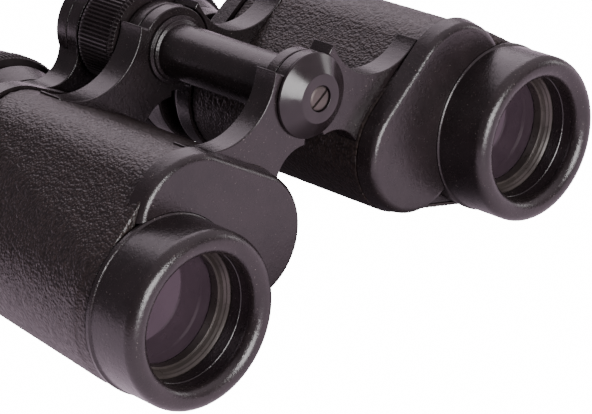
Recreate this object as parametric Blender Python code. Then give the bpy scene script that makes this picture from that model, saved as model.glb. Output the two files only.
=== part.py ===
"""Hand-held porro-prism binoculars of the 8 x 30 class, with a centre hinge and centre focusing.

The design is laid out in millimetres from the front face of the hinge cap:
x runs across the barrels, y runs back along the hinge axis towards the eyes,
z runs up, and zero is on the hinge axis. The right barrel lies at -x and the
left barrel at +x. The finished part stands on z = 0, centred in x and y.
"""

import math

import bmesh
import bpy
from mathutils import Matrix, Vector

MM = 0.001
RIGHT = -1
LEFT = 1
SIDE_NAMES = {RIGHT: "right", LEFT: "left"}

# Fineness of round pieces, as steps per turn.
COARSE = 12
MEDIUM = 20
FINE = 28
HULL_STEPS = 32

# Gap kept between pieces that touch, and the radial clearance of a running fit.
GAP = 0.3
RUNNING = 0.08

# The three optical axes of one barrel, from the hinge axis (x outwards, z up).
OBJECTIVE_AXIS = (53.05, -27.68)
PRISM_AXIS = (41.8, -12.9)
EYE_AXIS = (27.0, -23.6)
BARREL_AXES = (OBJECTIVE_AXIS, PRISM_AXIS, EYE_AXIS)

# Objective tube and its lenses.
RIM_FRONT = -16.0
TUBE_R = 20.35
TUBE_LIP_R = 20.75
TUBE_LIP_BACK = -1.5
TUBE_LIP_FRONT = -2.3
TUBE_BORE_R = 15.25
TUBE_THREAD_R = 18.2
TUBE_THREAD_END = 6.0
CELL_BORE_R = 16.6
SHADE_FRONT = -6.9
RETAINER_FACE = -4.7
RETAINER_BACK = -2.5
RETAINER_R = 13.3
LENS_R = 15.6
CROWN_FRONT = -3.4
CROWN_BACK = 1.6
FLINT_BACK = 4.4
FRONT_CURVE = 75.0
CEMENT_CURVE = 55.0
CELL_LIP_R = 12.6

# Barrel casting, its covering and its covers. A barrel's section is the hull
# of three circles, one round each axis: objective, prism, eyepiece.
SKIN_FRONT_RADII = (20.6, 14.9, 16.3)
SKIN_REAR_RADII = (16.5, 14.9, 16.3)
SKIN = 0.8
WALL = 2.2
BODY_FRONT = 3.3
BODY_REAR = 61.4
FRONT_PLATE_BACK = 7.6
LIGHT_BORE_R = 15.0
PRISM_DOOR_R = 12.0
SKIN_REAR = 61.0
BOSS_FRONT = -1.2
BOSS_R = 19.2
COVER_FACE = -2.1
COVER_BACK = 3.3
COVER_R = 16.0
REAR_COVER_END = 67.2
RIM_PROUD = 0.25

# Hinge knuckles: front and middle, each with one ring of each barrel.
FRONT_KNUCKLE = (3.7, 10.2)
MIDDLE_KNUCKLE = (50.4, 58.0)
FRONT_RING_R = 9.75
MIDDLE_RING_R = 10.35
RING_CLEARANCE = 0.35
EAR_ANGLE = 46.0
EAR_R = 12.6
UPPER_ARC = (24.5, 13.0, 16.0)
UPPER_ARC_END = 308.0
LOWER_ARC = (4.5, -20.0, 8.7)
LOWER_ARC_START = 5.0
AXLE_R = 4.5
AXLE_BORE_R = AXLE_R + RUNNING
AXLE_FRONT = 3.65
AXLE_REAR = 58.3

# Focusing: wheel, spindle, bridge.
WHEEL_FRONT = 58.6
WHEEL_REAR = 72.0
WHEEL_R = 13.0
SPINDLE_R = 3.0
BRIDGE = (73.3, 81.0)
BRIDGE_HUB_R = 12.0
COLLAR_R = 17.0
UPPER_FILLET = 7.5
LOWER_FILLET = 9.0

# Eyepieces.
OCULAR_TUBE_R = 12.05
SLEEVE_BORE_R = 12.15
SLEEVE_R = 13.6
SLEEVE_END = 71.9
OCULAR_TUBE = (60.0, 84.0)
SKIRT = (81.4, 87.6)
KNURL = (88.9, 94.1)
KNURL_R = 21.1
EYECUP = (94.5, 100.0)
EYECUP_R = 20.6
BARREL_BORE_R = 9.8
BARREL_FLANGE_R = 14.6

# Prisms.
PRISM_DEPTH = 17.0
PRISM_WIDTH = 16.0
FRONT_PRISM_BASE = 24.6
REAR_PRISM_BASE = 28.2
SHELF = (25.2, 27.4)
APERTURE_R = 7.4

# Where the design's zero sits in the finished part.
LENGTH_MIDDLE = (RIM_FRONT + EYECUP[1]) / 2
HINGE_HEIGHT = TUBE_LIP_R - OBJECTIVE_AXIS[1]


# ---------------------------------------------------------------- materials


def material(name, colour, roughness, metallic=0.0):
    made = bpy.data.materials.new(name)
    made.use_nodes = True
    shader = made.node_tree.nodes["Principled BSDF"]
    shader.inputs["Base Color"].default_value = (*colour, 1.0)
    shader.inputs["Roughness"].default_value = roughness
    shader.inputs["Metallic"].default_value = metallic
    return made


BLACK_PAINT = ((0.030, 0.027, 0.028), 0.35, 0.0)
BLACK_LEATHER = ((0.022, 0.019, 0.020), 0.45, 0.0)
ANODISED = ((0.035, 0.032, 0.034), 0.25, 0.6)
STEEL = ((0.45, 0.44, 0.43), 0.3, 1.0)
BRASS = ((0.52, 0.38, 0.17), 0.35, 1.0)
GREY_RING = ((0.32, 0.30, 0.28), 0.45, 0.6)
GLASS = ((0.30, 0.27, 0.33), 0.05, 0.0)
PLASTIC = ((0.020, 0.018, 0.019), 0.4, 0.0)


# ------------------------------------------------------------------ helpers


def clear_scene():
    for obj in list(bpy.data.objects):
        bpy.data.objects.remove(obj, do_unlink=True)


def axis_empty(name, location, parent=None):
    empty = bpy.data.objects.new(name, None)
    bpy.context.scene.collection.objects.link(empty)
    empty.location = Vector(location) * MM
    empty.parent = parent
    return empty


def add_object(name, bm, parent, finish=None, sharp=35.0):
    """Makes a bmesh drawn in millimetres into an object in metres."""
    bmesh.ops.remove_doubles(bm, verts=bm.verts, dist=1e-4)
    bmesh.ops.recalc_face_normals(bm, faces=bm.faces)
    mesh = bpy.data.meshes.new(name)
    bm.to_mesh(mesh)
    bm.free()
    mesh.transform(Matrix.Scale(MM, 4))
    mesh.shade_smooth()
    mesh.set_sharp_from_angle(angle=math.radians(sharp))
    if finish:
        mesh.materials.append(material(name, *finish))
    obj = bpy.data.objects.new(name, mesh)
    bpy.context.scene.collection.objects.link(obj)
    obj.parent = parent
    return obj


def helper(obj):
    obj.hide_render = True
    obj.display_type = "WIRE"
    return obj


def boolean(target, other, operation):
    modifier = target.modifiers.new(other.name, "BOOLEAN")
    modifier.object = helper(other)
    modifier.operation = operation
    # The exact solver drops faces from the barrels' long chains of cuts.
    long_chain = target.name.endswith(("body_casting", "leatherette"))
    modifier.solver = "MANIFOLD" if long_chain else "EXACT"


def cut(target, cutter):
    boolean(target, cutter, "DIFFERENCE")


def join(target, other):
    boolean(target, other, "UNION")


def turned(name, profile, parent, finish=None, steps=MEDIUM, centre=(0.0, 0.0)):
    """Turns a closed profile of (radius, y) points about the y axis through centre."""
    bm = bmesh.new()
    points = [bm.verts.new((radius, y, 0.0)) for radius, y in profile]
    pairs = list(zip(points, points[1:] + points[:1]))
    edges = [
        bm.edges.new(pair)
        for pair in pairs
        if pair[0].co.x > 0 or pair[1].co.x > 0
    ]
    bmesh.ops.spin(
        bm,
        geom=points + edges,
        axis=(0, 1, 0),
        cent=(0, 0, 0),
        angle=2 * math.pi,
        steps=steps,
        use_merge=True,
    )
    bmesh.ops.translate(bm, verts=bm.verts, vec=(centre[0], 0, centre[1]))
    return add_object(name, bm, parent, finish)


def plate(name, outline, y_front, y_back, parent, finish=None):
    """Extrudes an outline of (x, z) points along y."""
    bm = bmesh.new()
    face = bm.faces.new([bm.verts.new((x, y_front, z)) for x, z in outline])
    grown = bmesh.ops.extrude_face_region(bm, geom=[face])
    moved = [item for item in grown["geom"] if isinstance(item, bmesh.types.BMVert)]
    bmesh.ops.translate(bm, verts=moved, vec=(0, y_back - y_front, 0))
    return add_object(name, bm, parent, finish)


def loft(name, rings, parent, finish=None):
    """Skins rings of equal count with triangles, so that every face is flat, and closes both ends."""
    bm = bmesh.new()
    rows = [[bm.verts.new(point) for point in ring] for ring in rings]
    for near, far in zip(rows, rows[1:]):
        for i in range(len(near)):
            j = (i + 1) % len(near)
            bm.faces.new((near[i], near[j], far[j], far[i]))
    bmesh.ops.triangulate(bm, faces=bm.faces)
    bm.faces.new(rows[0])
    bm.faces.new(rows[-1])
    return add_object(name, bm, parent, finish)


def hull_ring(centres, radii, y, side):
    """Points on the hull of circles, one for each of HULL_STEPS directions."""
    ring = []
    for i in range(HULL_STEPS):
        angle = 2 * math.pi * i / HULL_STEPS
        dx, dz = math.cos(angle), math.sin(angle)
        reach = [c[0] * dx + c[1] * dz + r for c, r in zip(centres, radii)]
        best = reach.index(max(reach))
        (x, z), radius = centres[best], radii[best]
        ring.append((side * (x + radius * dx), y, z + radius * dz))
    return ring


def barrel_ring(y, inset, side):
    """The barrel's section at y, this far inside the covering's outer face."""
    along = (y - BODY_FRONT) / (BODY_REAR - BODY_FRONT)
    radii = [
        front + (rear - front) * along - inset
        for front, rear in zip(SKIN_FRONT_RADII, SKIN_REAR_RADII)
    ]
    return hull_ring(BARREL_AXES, radii, y, side)


def barrel_solid(name, y_front, y_back, inset, side, parent):
    rings = [barrel_ring(y, inset, side) for y in (y_front, y_back)]
    return loft(name, rings, parent)


def prism_cover_solid(name, rows, side, parent, finish=None):
    """A solid round the prism and eyepiece axes, from rows of (y, radius)."""
    rings = [
        hull_ring((PRISM_AXIS, EYE_AXIS), (radius, radius), y, side)
        for y, radius in rows
    ]
    return loft(name, rings, parent, finish)


def disc(name, radius, y_front, y_back, centre, side, parent, steps=FINE):
    """A plain cylinder, used to cut or to join."""
    profile = [(0, y_front), (radius, y_front), (radius, y_back), (0, y_back)]
    place = (side * centre[0], centre[1])
    return turned(name, profile, parent, None, steps, place)


def arc(centre, radius, start, end, count):
    """Points from start to end degrees on a circle in the x-z plane."""
    points = []
    for i in range(count + 1):
        angle = math.radians(start + (end - start) * i / count)
        x = centre[0] + radius * math.cos(angle)
        points.append((x, centre[1] + radius * math.sin(angle)))
    return points


def on_circle(radius, degrees):
    angle = math.radians(degrees)
    return radius * math.cos(angle), radius * math.sin(angle)


# --------------------------------------------------------------- objectives


def objective_tube(side, parent):
    profile = [
        (TUBE_LIP_R, TUBE_LIP_BACK),
        (TUBE_LIP_R, TUBE_LIP_FRONT),
        (TUBE_R, TUBE_LIP_FRONT - 0.4),
        (TUBE_R, RIM_FRONT + 4.2),
        (TUBE_R - 0.5, RIM_FRONT + 2.2),
        (TUBE_R - 1.4, RIM_FRONT + 0.8),
        (TUBE_R - 2.4, RIM_FRONT),
        (TUBE_R - 3.4, RIM_FRONT),
        (TUBE_BORE_R + 0.5, RIM_FRONT + 1.3),
        (TUBE_BORE_R, RIM_FRONT + 3.0),
        (TUBE_BORE_R, SHADE_FRONT),
        (CELL_BORE_R, SHADE_FRONT),
        (CELL_BORE_R, TUBE_THREAD_END),
        (TUBE_THREAD_R, TUBE_THREAD_END),
        (TUBE_THREAD_R, TUBE_LIP_BACK),
    ]
    turned(f"{SIDE_NAMES[side]}_objective_tube", profile, parent, BLACK_PAINT, FINE)


def objective_retaining_ring(side, parent):
    outer = CELL_BORE_R - GAP
    profile = [
        (outer, SHADE_FRONT + GAP),
        (TUBE_BORE_R - 0.1, SHADE_FRONT + GAP),
        (RETAINER_R + 0.5, RETAINER_FACE),
        (RETAINER_R, RETAINER_FACE),
        (RETAINER_R, RETAINER_BACK),
        (outer, RETAINER_BACK),
    ]
    name = f"{SIDE_NAMES[side]}_objective_retaining_ring"
    turned(name, profile, parent, GREY_RING, MEDIUM)


def objective_cell(side, parent):
    """The eccentric ring that the doublet sits in."""
    outer = CELL_BORE_R - GAP
    seat = LENS_R + GAP - 0.05
    profile = [
        (seat, RETAINER_BACK + GAP),
        (outer, RETAINER_BACK + GAP),
        (outer, TUBE_THREAD_END),
        (CELL_LIP_R, TUBE_THREAD_END),
        (CELL_LIP_R, FLINT_BACK + GAP),
        (seat, FLINT_BACK + GAP),
    ]
    name = f"{SIDE_NAMES[side]}_objective_cell"
    turned(name, profile, parent, ANODISED, MEDIUM)


def dish(radius, curve, y_vertex, towards, count=3):
    """Points on a lens face from its vertex out to its edge."""
    points = []
    for i in range(count + 1):
        r = radius * i / count
        sag = curve - math.sqrt(curve * curve - r * r)
        points.append((r, y_vertex + towards * sag))
    return points


def objective_lenses(side, parent):
    name = SIDE_NAMES[side]
    front = dish(LENS_R, FRONT_CURVE, CROWN_FRONT, 1)
    back = dish(LENS_R, CEMENT_CURVE, CROWN_BACK, -1)
    turned(f"{name}_crown_lens", front + back[::-1], parent, GLASS, MEDIUM)
    front = dish(LENS_R, CEMENT_CURVE, CROWN_BACK + GAP, -1)
    profile = front + [(LENS_R, FLINT_BACK), (0, FLINT_BACK)]
    turned(f"{name}_flint_lens", profile, parent, GLASS, MEDIUM)


# ------------------------------------------------------------------ barrels


def knuckle_outline(ring_r, grow=0.0):
    """The arm's free edges: from the ear at the ring, over the foot, back to the ring."""
    x, z, radius = UPPER_ARC
    radius -= grow
    ear = on_circle(EAR_R, EAR_ANGLE)
    start = 360 + math.degrees(math.atan2(ear[1] - z, ear[0] - x))
    upper = arc((x, z), radius, start, UPPER_ARC_END + 3 * grow, 7)
    x, z, radius = LOWER_ARC
    radius -= grow
    lower = arc((x, z), radius, LOWER_ARC_START, 100, 4)
    return [on_circle(ring_r, EAR_ANGLE), *upper, PRISM_AXIS, EYE_AXIS, *lower]


def knuckle(name, side, y_own, y_meet, y_end, ring_r, parent):
    """An arm with its ring: the ring fills y_own to y_meet, and from there to
    y_end the arm is cut back to clear the other barrel's ring."""
    clear_r = ring_r + RING_CLEARANCE
    edges = knuckle_outline(clear_r)
    last = edges[-1]
    low = math.degrees(math.atan2(last[1], last[0]))
    shared = [*edges, on_circle(clear_r, low)]
    hub = arc((0, 0), ring_r, low, EAR_ANGLE - 360, 14)
    hollow = arc((0, 0), clear_r, low, EAR_ANGLE, 7)[1:-1]
    bm = bmesh.new()

    def row(points, y):
        return [bm.verts.new((side * px, y, pz)) for px, pz in points]

    def wall(near, far):
        count = len(near)
        for i in range(count):
            j = (i + 1) % count
            bm.faces.new((near[i], near[j], far[j], far[i]))

    own_near = row(shared + hub, y_own)
    own_far = row(shared + hub, y_meet)
    step = row(hollow, y_meet)
    end = row(shared + hollow, y_end)
    count = len(shared)
    wall(own_near, own_far)
    wall(own_far[:count] + step, end)
    bm.faces.new(own_near)
    bm.faces.new(end)
    bm.faces.new([own_far[0], *step[::-1], *own_far[count - 1 :]])
    return add_object(name, bm, parent)


def knuckle_rows(knuckle_range, side):
    """(ring face, meeting face, far face) of this side's arm: the right barrel
    has the front ring of each pair and the left barrel the rear one."""
    front, back = knuckle_range
    middle = (front + back) / 2
    if side == RIGHT:
        return front, middle - GAP / 2, back
    return back, middle + GAP / 2, front


def cover_cutter(name, side, parent):
    """Room for the front cover."""
    grown = COVER_R + GAP
    rows = [(COVER_FACE - 8, grown), (COVER_BACK + GAP, grown)]
    return prism_cover_solid(name, rows, side, parent)


def body_casting(side, parent):
    name = SIDE_NAMES[side]
    metal = SKIN + GAP
    body = barrel_solid(f"{name}_body_casting", BODY_FRONT, BODY_REAR, metal, side, parent)
    body.data.materials.append(material(body.name, *BLACK_PAINT))
    knuckles = (("front", FRONT_KNUCKLE, FRONT_RING_R), ("middle", MIDDLE_KNUCKLE, MIDDLE_RING_R))
    for place, reach, ring_r in knuckles:
        rows = knuckle_rows(reach, side)
        join(body, knuckle(f"{name}_{place}_knuckle", side, *rows, ring_r, parent))
    objective = (OBJECTIVE_AXIS, side, parent)
    join(body, disc(f"{name}_boss", BOSS_R, BOSS_FRONT, BODY_FRONT + 1, *objective))
    cut(body, cover_cutter(f"{name}_cover_room", side, parent))
    inset = metal + WALL
    cavity = (f"{name}_cavity", FRONT_PLATE_BACK, BODY_REAR + 2, inset, side, parent)
    cut(body, barrel_solid(*cavity))
    bore = TUBE_THREAD_R + GAP
    cut(body, disc(f"{name}_boss_bore", bore, -3, TUBE_THREAD_END + GAP, *objective))
    cut(body, disc(f"{name}_light_bore", LIGHT_BORE_R, 2, 9, *objective))
    rows = [(2.0, PRISM_DOOR_R), (FRONT_PLATE_BACK + 1, PRISM_DOOR_R)]
    cut(body, prism_cover_solid(f"{name}_prism_door", rows, side, parent))
    axle = disc(f"{name}_axle_bore", AXLE_BORE_R, 0, 60, (0, 0), side, parent, MEDIUM)
    cut(body, axle)


def leatherette(side, parent):
    """The covering round the casting, notched round the feet of the arms."""
    name = SIDE_NAMES[side]
    skin = barrel_solid(f"{name}_leatherette", BODY_FRONT + 0.5, SKIN_REAR, 0.0, side, parent)
    skin.data.materials.append(material(skin.name, *BLACK_LEATHER))
    objective = (OBJECTIVE_AXIS, side, parent)
    join(skin, disc(f"{name}_skin_boss", BOSS_R + 1.15, BOSS_FRONT + 0.2, 8, *objective))
    cut(skin, barrel_solid(f"{name}_skin_core", 2, 63, SKIN, side, parent))
    cut(skin, disc(f"{name}_skin_bore", BOSS_R + GAP, -4, 8.6, *objective))
    cut(skin, cover_cutter(f"{name}_skin_cover_room", side, parent))
    for place, (front, back) in (("front", FRONT_KNUCKLE), ("middle", MIDDLE_KNUCKLE)):
        outline = [(side * x, z) for x, z in knuckle_outline(6.0, 0.5)]
        notch = (f"{name}_{place}_notch", outline, front - 0.5, back + 0.5, parent)
        cut(skin, plate(*notch))


def front_cover(side, parent):
    """The lid over the front prism, hollow behind and cut round the objective tube."""
    name = SIDE_NAMES[side]
    rows = [
        (COVER_FACE, COVER_R - 2.0),
        (COVER_FACE + 0.4, COVER_R - 1.2),
        (COVER_FACE + 1.6, COVER_R - 0.6),
        (COVER_BACK, COVER_R),
    ]
    cover = prism_cover_solid(f"{name}_front_cover", rows, side, parent, BLACK_PAINT)
    rows = [(COVER_FACE + 1.9, COVER_R - 3.2), (COVER_BACK + 2, COVER_R - 2.8)]
    cut(cover, prism_cover_solid(f"{name}_cover_hollow", rows, side, parent))
    room = TUBE_LIP_R + GAP
    cut(cover, disc(f"{name}_tube_room", room, -9, 9, OBJECTIVE_AXIS, side, parent))


def rear_cover(side, parent):
    name = SIDE_NAMES[side]
    back = REAR_COVER_END
    rows = ((BODY_REAR + GAP, 0.0), (back - 2.0, 0.1), (back - 0.6, 0.9), (back, 2.2))
    rings = [
        hull_ring(BARREL_AXES, [r + RIM_PROUD - inset for r in SKIN_REAR_RADII], y, side)
        for y, inset in rows
    ]
    cover = loft(f"{name}_rear_cover", rings, parent, BLACK_PAINT)
    rings = [
        hull_ring(BARREL_AXES, [r - WALL for r in SKIN_REAR_RADII], y, side)
        for y in (BODY_REAR - 1, REAR_COVER_END - 3)
    ]
    cut(cover, loft(f"{name}_rear_hollow", rings, parent))
    hole = (f"{name}_sleeve_hole", SLEEVE_R + GAP, 60, 70, EYE_AXIS, side, parent, MEDIUM)
    cut(cover, disc(*hole))


def strap_lug(side, parent):
    """A loop for the neck strap on the barrel's outer side, near the rear."""
    middle_y, half_length, reach, thickness = 52.0, 6.5, 5.0, 3.0
    taper = (SKIN_REAR_RADII[0] - SKIN_FRONT_RADII[0]) / (BODY_REAR - BODY_FRONT)
    radius = SKIN_FRONT_RADII[0] + taper * (middle_y - BODY_FRONT)
    surface = OBJECTIVE_AXIS[0] + radius + GAP
    outline = [
        (surface - taper * half_length, middle_y - half_length),
        (surface + reach - 1.6, middle_y - half_length + 0.6),
        (surface + reach, middle_y - half_length + 2.4),
        (surface + reach, middle_y + half_length - 2.4),
        (surface + reach - 1.6, middle_y + half_length - 0.6),
        (surface + taper * half_length, middle_y + half_length),
    ]
    bm = bmesh.new()
    low = OBJECTIVE_AXIS[1] - thickness / 2
    face = bm.faces.new([bm.verts.new((side * x, y, low)) for x, y in outline])
    grown = bmesh.ops.extrude_face_region(bm, geom=[face])
    moved = [item for item in grown["geom"] if isinstance(item, bmesh.types.BMVert)]
    bmesh.ops.translate(bm, verts=moved, vec=(0, 0, thickness))
    lug = add_object(f"{SIDE_NAMES[side]}_strap_lug", bm, parent, STEEL)
    bm = bmesh.new()
    bmesh.ops.create_cube(bm, size=1)
    bmesh.ops.scale(bm, verts=bm.verts, vec=(2.2, 2 * half_length - 4.4, 9))
    slot = (side * (surface + 2.3), middle_y, OBJECTIVE_AXIS[1])
    bmesh.ops.translate(bm, verts=bm.verts, vec=slot)
    cut(lug, add_object(f"{SIDE_NAMES[side]}_strap_slot", bm, parent))


# ------------------------------------------------------------------- prisms


def prism_frame(first, second, side):
    """The middle between two axes, with unit vectors along and across the prism."""
    a = Vector((side * first[0], 0, first[1]))
    b = Vector((side * second[0], 0, second[1]))
    along = (b - a).normalized()
    return (a + b) / 2, along, along.cross(Vector((0, 1, 0)))


def swept(name, section, width, frame, parent, finish):
    """Sweeps a section of (distance along, y) points across the prism's width."""
    middle, along, across = frame
    bm = bmesh.new()
    rows = []
    for edge in (-width / 2, width / 2):
        base = middle + across * edge
        row = [bm.verts.new(base + along * s + Vector((0, y, 0))) for s, y in section]
        rows.append(row)
    count = len(section)
    for i in range(count):
        j = (i + 1) % count
        bm.faces.new((rows[0][i], rows[0][j], rows[1][j], rows[1][i]))
    bm.faces.new(rows[0])
    bm.faces.new(rows[1])
    return add_object(name, bm, parent, finish)


def prism_and_clip(place, side, base, towards, axes, parent):
    """A right-angled prism whose long face is at y = base, and the strap over its ridge."""
    name = SIDE_NAMES[side]
    frame = prism_frame(*axes, side)
    depth = PRISM_DEPTH
    flat = 1.0
    section = [
        (-depth, base),
        (depth, base),
        (flat, base + towards * (depth - flat)),
        (-flat, base + towards * (depth - flat)),
    ]
    swept(f"{name}_{place}_prism", section, PRISM_WIDTH, frame, parent, GLASS)
    inner, thick, foot = 0.3, 0.5, 13.0
    ridge = base + towards * (depth - flat)
    outer = thick + inner
    section = [
        (-foot - inner, base + towards * (depth - foot + inner)),
        (-flat - inner, ridge + towards * inner),
        (flat + inner, ridge + towards * inner),
        (foot + inner, base + towards * (depth - foot + inner)),
        (foot + outer, base + towards * (depth - foot + outer)),
        (flat + outer, ridge + towards * outer),
        (-flat - outer, ridge + towards * outer),
        (-foot - outer, base + towards * (depth - foot + outer)),
    ]
    swept(f"{name}_{place}_prism_clip", section, 5.0, frame, parent, BRASS)


def prism_shelf(side, parent):
    name = SIDE_NAMES[side]
    inset = SKIN + GAP + WALL + GAP
    rings = [barrel_ring(y, inset + 0.2, side) for y in SHELF]
    shelf = loft(f"{name}_prism_shelf", rings, parent, ANODISED)
    for place, centre in zip(("objective", "prism", "eyepiece"), BARREL_AXES):
        hole = f"{name}_{place}_aperture"
        cut(shelf, disc(hole, APERTURE_R, 20, 32, centre, side, parent, COARSE))


# ---------------------------------------------------------------- eyepieces


def eyepiece_sleeve(side, parent):
    """The guide, fixed in the rear cover, that the ocular tube slides in."""
    nut = REAR_COVER_END + GAP
    front = BODY_REAR + 1.4
    profile = [
        (SLEEVE_BORE_R, front),
        (SLEEVE_R, front),
        (SLEEVE_R, nut),
        (SLEEVE_R + 1.6, nut),
        (SLEEVE_R + 1.6, nut + 1.6),
        (SLEEVE_R, nut + 1.6),
        (SLEEVE_R, SLEEVE_END),
        (SLEEVE_BORE_R, SLEEVE_END),
    ]
    turned(f"{SIDE_NAMES[side]}_eyepiece_sleeve", profile, parent, ANODISED)


def ocular_tube(side, parent):
    front, back = OCULAR_TUBE
    inner = OCULAR_TUBE_R - 0.85
    profile = [
        (inner, front),
        (OCULAR_TUBE_R, front),
        (OCULAR_TUBE_R, back),
        (inner, back),
    ]
    turned(f"{SIDE_NAMES[side]}_ocular_tube", profile, parent, ANODISED)


def fillet_centre(radius, side_of_line):
    """Centre of a fillet that touches both the bridge hub and the collar."""
    ex, ez = EYE_AXIS
    span = math.hypot(ex, ez)
    to_hub, to_collar = BRIDGE_HUB_R + radius, COLLAR_R + radius
    along = (to_hub**2 - to_collar**2 + span**2) / (2 * span)
    across = side_of_line * math.sqrt(to_hub**2 - along**2)
    ux, uz = ex / span, ez / span
    return ux * along - uz * across, uz * along + ux * across


def fillet_arc(radius, side_of_line, count):
    """The fillet from the hub to the collar, short of both so that it starts inside them."""
    cx, cz = fillet_centre(radius, side_of_line)
    start = math.degrees(math.atan2(-cz, -cx))
    end = math.degrees(math.atan2(EYE_AXIS[1] - cz, EYE_AXIS[0] - cx))
    turn = (end - start + 180) % 360 - 180
    return arc((cx, cz), radius, start, start + turn, count)


def bridge_arm(side, parent):
    """One half of the bridge: its hub layer on the hinge axis, its arm and its collar."""
    name = SIDE_NAMES[side]
    front, back = BRIDGE
    middle = (front + back) / 2
    own, other = (front, middle - GAP / 2), (middle + GAP / 2, back)
    if side == LEFT:
        own, other = other, own
    upper = fillet_arc(UPPER_FILLET, 1, 8)
    lower = fillet_arc(LOWER_FILLET, -1, 8)
    outline = [(0, 0), *upper, EYE_AXIS, *lower[::-1]]
    outline = [(side * x, z) for x, z in outline]
    arm = plate(f"{name}_bridge_arm", outline, front, back, parent, BLACK_PAINT)
    grown = 0.12
    on_eye = (EYE_AXIS, side, parent, FINE)
    join(arm, disc(f"{name}_collar", COLLAR_R, front - grown, back + grown, *on_eye))
    room = BRIDGE_HUB_R + RING_CLEARANCE
    low, high = min(other) - GAP, max(other) + GAP
    cut(arm, disc(f"{name}_hub_room", room, low, high, (0, 0), side, parent))
    low, high = min(own), max(own)
    if side == RIGHT:
        low -= grown
    else:
        high += grown
    join(arm, disc(f"{name}_hub", BRIDGE_HUB_R, low, high, (0, 0), side, parent))
    bore = SPINDLE_R + RUNNING
    cut(arm, disc(f"{name}_hub_bore", bore, 70, 84, (0, 0), side, parent, MEDIUM))
    bore = OCULAR_TUBE_R + GAP
    cut(arm, disc(f"{name}_collar_bore", bore, 70, 84, EYE_AXIS, side, parent, MEDIUM))


def eyepiece_skirt(side, parent):
    front, back = SKIRT
    bore = OCULAR_TUBE_R + GAP
    profile = [
        (bore, front),
        (COLLAR_R, front),
        (COLLAR_R + 0.5, front + 1.4),
        (COLLAR_R + 2.1, back - 0.3),
        (COLLAR_R + 1.7, back),
        (COLLAR_R - 1.5, back),
        (COLLAR_R - 1.5, back - 3.4),
        (bore, back - 3.4),
    ]
    turned(f"{SIDE_NAMES[side]}_eyepiece_skirt", profile, parent, BLACK_PAINT, MEDIUM)


def lens_barrel(side, parent):
    """The tube that carries the two eyepiece lenses and the eyecup."""
    slim = OCULAR_TUBE_R - 0.95
    profile = [
        (BARREL_BORE_R, 66.0),
        (slim, 66.0),
        (slim, 85.8),
        (BARREL_FLANGE_R, 85.8),
        (BARREL_FLANGE_R, EYECUP[1] - 2.5),
        (BARREL_BORE_R, EYECUP[1] - 2.5),
    ]
    turned(f"{SIDE_NAMES[side]}_lens_barrel", profile, parent, ANODISED)


def eyepiece_lenses(side, parent):
    name = SIDE_NAMES[side]
    radius = BARREL_BORE_R - GAP
    curved = dish(radius, 22.0, 72.0, -1, 3)
    profile = [*curved, (radius, 68.0), (0, 68.0)]
    turned(f"{name}_field_lens", profile, parent, GLASS, COARSE)
    front = dish(radius, 20.0, 88.0, 1, 3)
    back = dish(radius, 30.0, 94.0, -1, 3)
    turned(f"{name}_eye_lens", front + back[::-1], parent, GLASS, COARSE)


def knurled_ring(name, parent):
    front, back = KNURL
    bore = BARREL_FLANGE_R + 2 * RUNNING
    profile = [
        (bore, front),
        (KNURL_R - 0.6, front),
        (KNURL_R, front + 0.6),
        (KNURL_R, back - 0.6),
        (KNURL_R - 0.6, back),
        (bore, back),
    ]
    turned(name, profile, parent, PLASTIC, FINE)


def eyecup(side, parent):
    front, back = EYECUP
    profile = [
        (15.0, front),
        (EYECUP_R - 0.6, front),
        (EYECUP_R, front + 0.8),
        (EYECUP_R, back - 1.2),
        (EYECUP_R - 0.8, back - 0.2),
        (EYECUP_R - 1.6, back),
        (EYECUP_R - 2.8, back),
        (EYECUP_R - 4.2, back - 0.8),
        (8.5, back - 1.6),
        (8.5, back - 2.2),
        (15.0, back - 2.2),
    ]
    turned(f"{SIDE_NAMES[side]}_eyecup", profile, parent, PLASTIC, MEDIUM)


# -------------------------------------------------------- hinge and focusing


def hinge_axle(parent):
    screw_hole = 1.9
    profile = [
        (screw_hole, AXLE_FRONT),
        (AXLE_R, AXLE_FRONT),
        (AXLE_R, AXLE_REAR),
        (SPINDLE_R + RUNNING, AXLE_REAR),
        (SPINDLE_R + RUNNING, 30.0),
        (0, 30.0),
        (0, 10.0),
        (screw_hole, 10.0),
    ]
    turned("hinge_axle", profile, parent, STEEL)


def hinge_tube(parent):
    """The tube round the axle between the knuckles, with a collar at its rear end."""
    front, back = FRONT_KNUCKLE[1] + GAP, MIDDLE_KNUCKLE[0] - GAP
    bore = AXLE_R + 0.4
    profile = [
        (bore, front),
        (6.7, front),
        (6.7, back - 1.3),
        (7.6, back - 1.1),
        (7.6, back),
        (bore, back),
    ]
    turned("hinge_tube", profile, parent, BLACK_PAINT, MEDIUM)


def hinge_cap(parent):
    profile = [
        (3.1, 0.0),
        (5.7, 0.0),
        (9.95, 2.85),
        (10.05, 3.05),
        (10.05, 3.35),
        (1.9, 3.35),
        (1.9, 1.2),
        (3.1, 1.2),
    ]
    turned("hinge_cap", profile, parent, ANODISED, MEDIUM)


def hinge_cap_screw(parent):
    profile = [(0, 0.15), (2.85, 0.15), (2.85, 0.9), (1.6, 0.9), (1.6, 8.5), (0, 8.5)]
    screw = turned("hinge_cap_screw", profile, parent, STEEL, COARSE)
    bm = bmesh.new()
    bmesh.ops.create_cube(bm, size=1)
    bmesh.ops.scale(bm, verts=bm.verts, vec=(8, 1.0, 0.7))
    bmesh.ops.rotate(bm, verts=bm.verts, matrix=Matrix.Rotation(math.radians(-29), 3, "Y"))
    cut(screw, add_object("screw_slot", bm, parent))


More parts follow.
